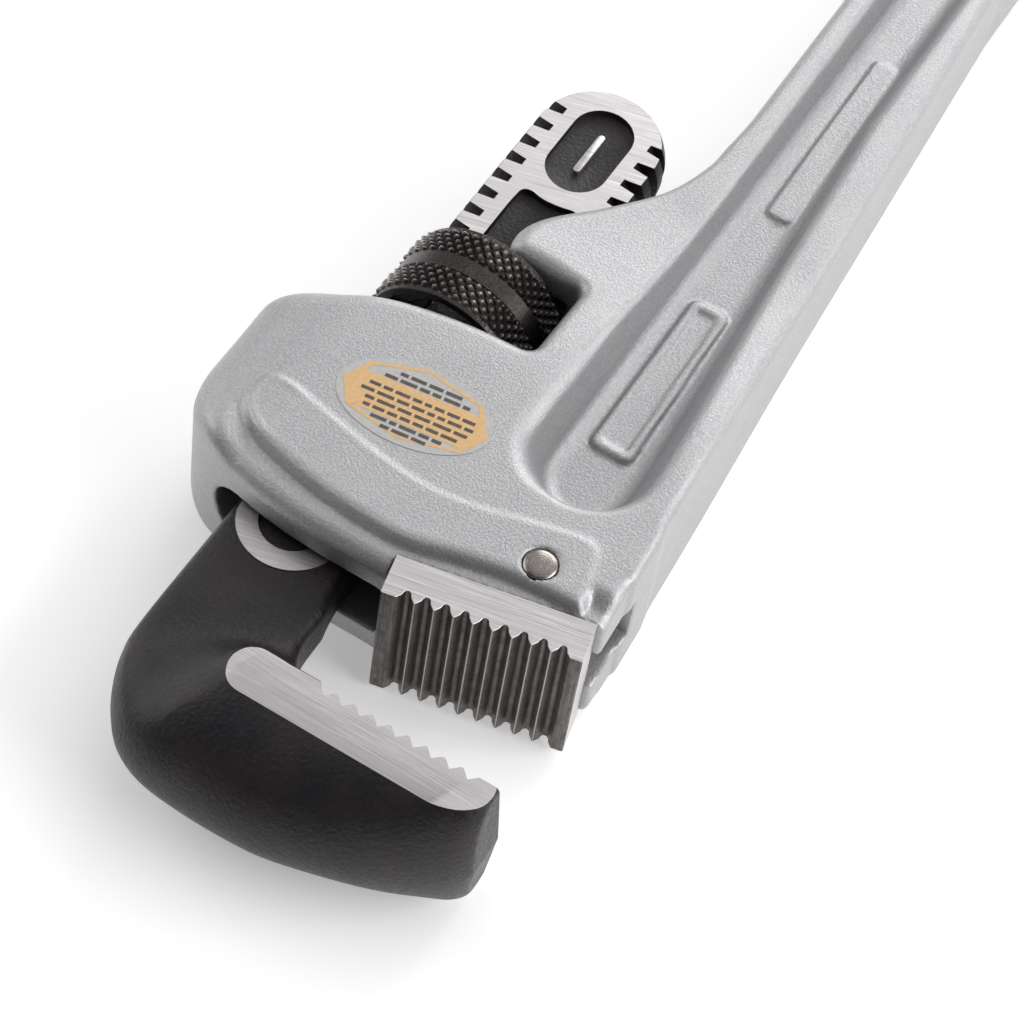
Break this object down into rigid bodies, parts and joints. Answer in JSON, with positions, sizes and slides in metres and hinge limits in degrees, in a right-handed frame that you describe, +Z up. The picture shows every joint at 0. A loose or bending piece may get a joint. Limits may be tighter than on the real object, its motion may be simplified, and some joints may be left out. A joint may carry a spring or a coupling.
{
  "type": "pipe wrench",
  "caption": "Straight pipe wrench with an aluminium I-beam handle, a threaded hook jaw moved by a knurled nut, and a toothed heel jaw.",
  "frame": {"origin": "below the middle of the box, on the underside of the housing's raised pads", "axes": "+X from the hook towards the hang hole, +Y away from the handle, +Z up, square to the flat side of the tool"},
  "size_m": [0.3096, 0.0868, 0.0332],
  "materials": {
    "cast_aluminium": "fine sand-cast texture, silver, softly sparkling",
    "black_forging": "satin black oxide over a forged skin, with brushed ground faces",
    "nut_steel": "black-brown oxide, bright on the knurl's points",
    "heel_steel": "dark grey-brown oxide with a bright ground top",
    "turned_steel": "bright turned steel",
    "spring_steel": "plain spring steel",
    "label_film": "clear film with an amber field"
  },
  "bodies": {
    "handle": {"handle_housing": "cast_aluminium", "heel_jaw": "heel_steel", "heel_jaw_pin": "turned_steel", "coil_spring": "spring_steel", "spring_rivet": "turned_steel", "label": "label_film"},
    "jaw_carrier": {"flat_spring": "spring_steel"},
    "hook_jaw": {"hook_jaw": "black_forging"},
    "adjusting_nut": {"adjusting_nut": "nut_steel"}
  },
  "joints": [
    {"name": "jaw_rock", "type": "hinge", "parent": "handle", "child": "jaw_carrier", "pos_m": [-0.04356, 0.0161, 0.0166], "axis": [0, 0, 1], "range_deg": [0, 3], "stiffness_Nm_per_rad": 15, "springref_deg": -1.72, "deforming": ["flat_spring", "coil_spring"]},
    {"name": "jaw_travel", "type": "slide", "parent": "jaw_carrier", "child": "hook_jaw", "axis": [-1, 0, 0], "range_m": [-0.0165, 0.04]},
    {"name": "nut_spin", "type": "hinge", "parent": "jaw_carrier", "child": "adjusting_nut", "pos_m": [-0.04356, 0.0161, 0.0166], "axis": [1, 0, 0], "range_deg": [-1189, 2881]}
  ],
  "couplings": [
    {"joint": "nut_spin", "follows": "jaw_travel", "rad_per_m": 1256.6}
  ]
}
